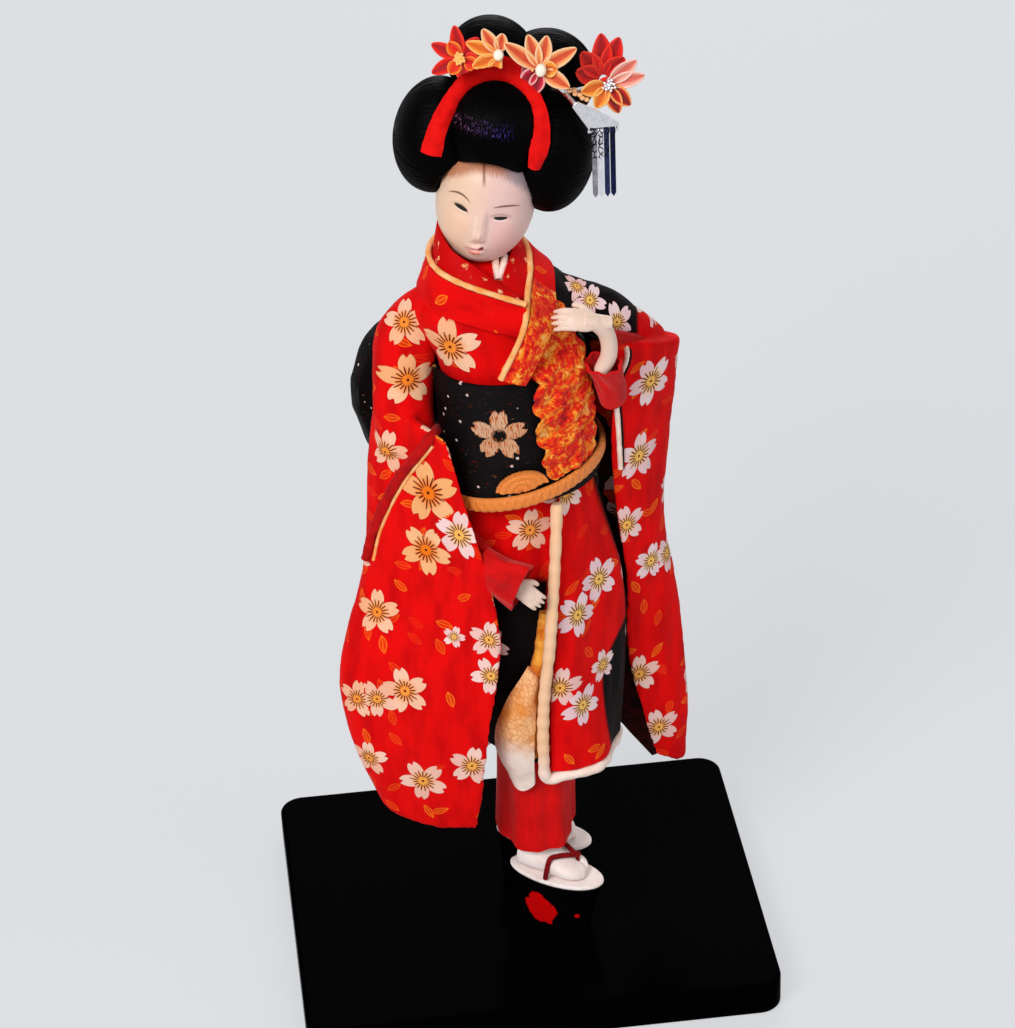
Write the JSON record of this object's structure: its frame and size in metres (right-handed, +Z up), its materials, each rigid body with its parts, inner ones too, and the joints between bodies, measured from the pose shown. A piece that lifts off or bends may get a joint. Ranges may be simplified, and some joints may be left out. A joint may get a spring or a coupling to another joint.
{
  "type": "maiko doll",
  "caption": "Standing maiko doll on a lacquered board, in a long-sleeved kimono with a bow-tied sash, tall sandals and silk flowers in the dressed hair.",
  "frame": {"origin": "middle of the base board's underside", "axes": "+Z up, -Y towards the viewer's side of the board (its front edge), +X to the viewer's right"},
  "size_m": [0.18, 0.15, 0.3808],
  "materials": {
    "base_lacquer": "black high-gloss lacquer",
    "steel": "drawn wire",
    "sandal_lacquer": "black lacquer with a painted red motif",
    "sandal_cover": "white woven cover",
    "sandal_strap": "dark red padded strap",
    "sock": "white cotton",
    "wood": "plain",
    "plaster": "matt shell-white over a carved core, painted features",
    "under_silk": "plain red silk",
    "kimono_silk": "red crepe silk printed with blossoms",
    "lining": "peach and white padded silk",
    "piping": "peach silk fold",
    "sash": "black brocade with blossoms",
    "cord": "orange and gold flat braid",
    "crinkled_silk": "gold and red crinkled silk",
    "hair": "black silk thread, combed and set",
    "ribbon": "red crepe",
    "petal_red": "folded red silk",
    "petal_peach": "folded peach and pink silk",
    "silver": "thin polished sheet"
  },
  "bodies": {
    "figure": {"base_board": "base_lacquer", "support_pin_right": "steel", "support_pin_left": "steel", "sandal_block_right": "sandal_lacquer", "sandal_block_left": "sandal_lacquer", "sandal_cover_right": "sandal_cover", "sandal_cover_left": "sandal_cover", "sandal_strap_right": "sandal_strap", "sandal_strap_left": "sandal_strap", "sock_foot_right": "sock", "sock_foot_left": "sock", "leg_right": "wood", "leg_left": "wood", "torso": "wood", "arm_right": "wood", "arm_left": "wood", "neck_peg": "wood", "hand_right": "plaster", "hand_left": "plaster", "underskirt": "under_silk", "inner_collar_right": "under_silk", "inner_collar_left": "under_silk", "cuff_right": "under_silk", "cuff_left": "under_silk", "kimono_skirt": "kimono_silk", "kimono_bodice": "kimono_silk", "collar_right": "kimono_silk", "collar_left": "kimono_silk", "sleeve_right": "kimono_silk", "sleeve_left": "kimono_silk", "skirt_edge_roll": "lining", "skirt_lining_flap": "lining", "collar_piping_right": "piping", "collar_piping_left": "piping", "sash_band": "sash", "bow_wings": "sash", "bow_knot": "sash", "bow_tail_right": "sash", "bow_tail_left": "sash", "sash_cord": "cord", "sash_cord_arch": "cord", "crinkled_silk": "crinkled_silk"},
    "head": {"head": "plaster", "hair_front": "hair", "hair_back": "hair", "hair_topknot": "hair", "hair_side_right": "hair", "hair_side_left": "hair", "hair_ribbon": "ribbon", "flower_red": "petal_red", "flower_peach": "petal_peach", "flower_main": "petal_peach", "flower_side_red": "petal_red", "flower_side_pink": "petal_peach", "ornament_plate": "silver", "ornament_pin": "silver"},
    "drop_1": {"silver_drop_1": "silver"},
    "drop_2": {"silver_drop_2": "silver"},
    "drop_3": {"silver_drop_3": "silver"},
    "drop_4": {"silver_drop_4": "silver"}
  },
  "joints": [
    {"name": "head_turn", "type": "hinge", "parent": "figure", "child": "head", "pos_m": [-0.003, -0.001, 0.29], "axis": [0, 0, 1], "range_deg": [-15, 15]},
    {"name": "drop_1_swing", "type": "hinge", "parent": "head", "child": "drop_1", "pos_m": [0.03328, -0.01464, 0.34333], "axis": [1, 0, 0], "range_deg": [-45, 18]},
    {"name": "drop_2_swing", "type": "hinge", "parent": "head", "child": "drop_2", "pos_m": [0.03538, -0.01464, 0.34333], "axis": [1, 0, 0], "range_deg": [-45, 18]},
    {"name": "drop_3_swing", "type": "hinge", "parent": "head", "child": "drop_3", "pos_m": [0.03748, -0.01464, 0.34333], "axis": [1, 0, 0], "range_deg": [-45, 18]},
    {"name": "drop_4_swing", "type": "hinge", "parent": "head", "child": "drop_4", "pos_m": [0.03958, -0.01464, 0.34333], "axis": [1, 0, 0], "range_deg": [-45, 18]}
  ]
}
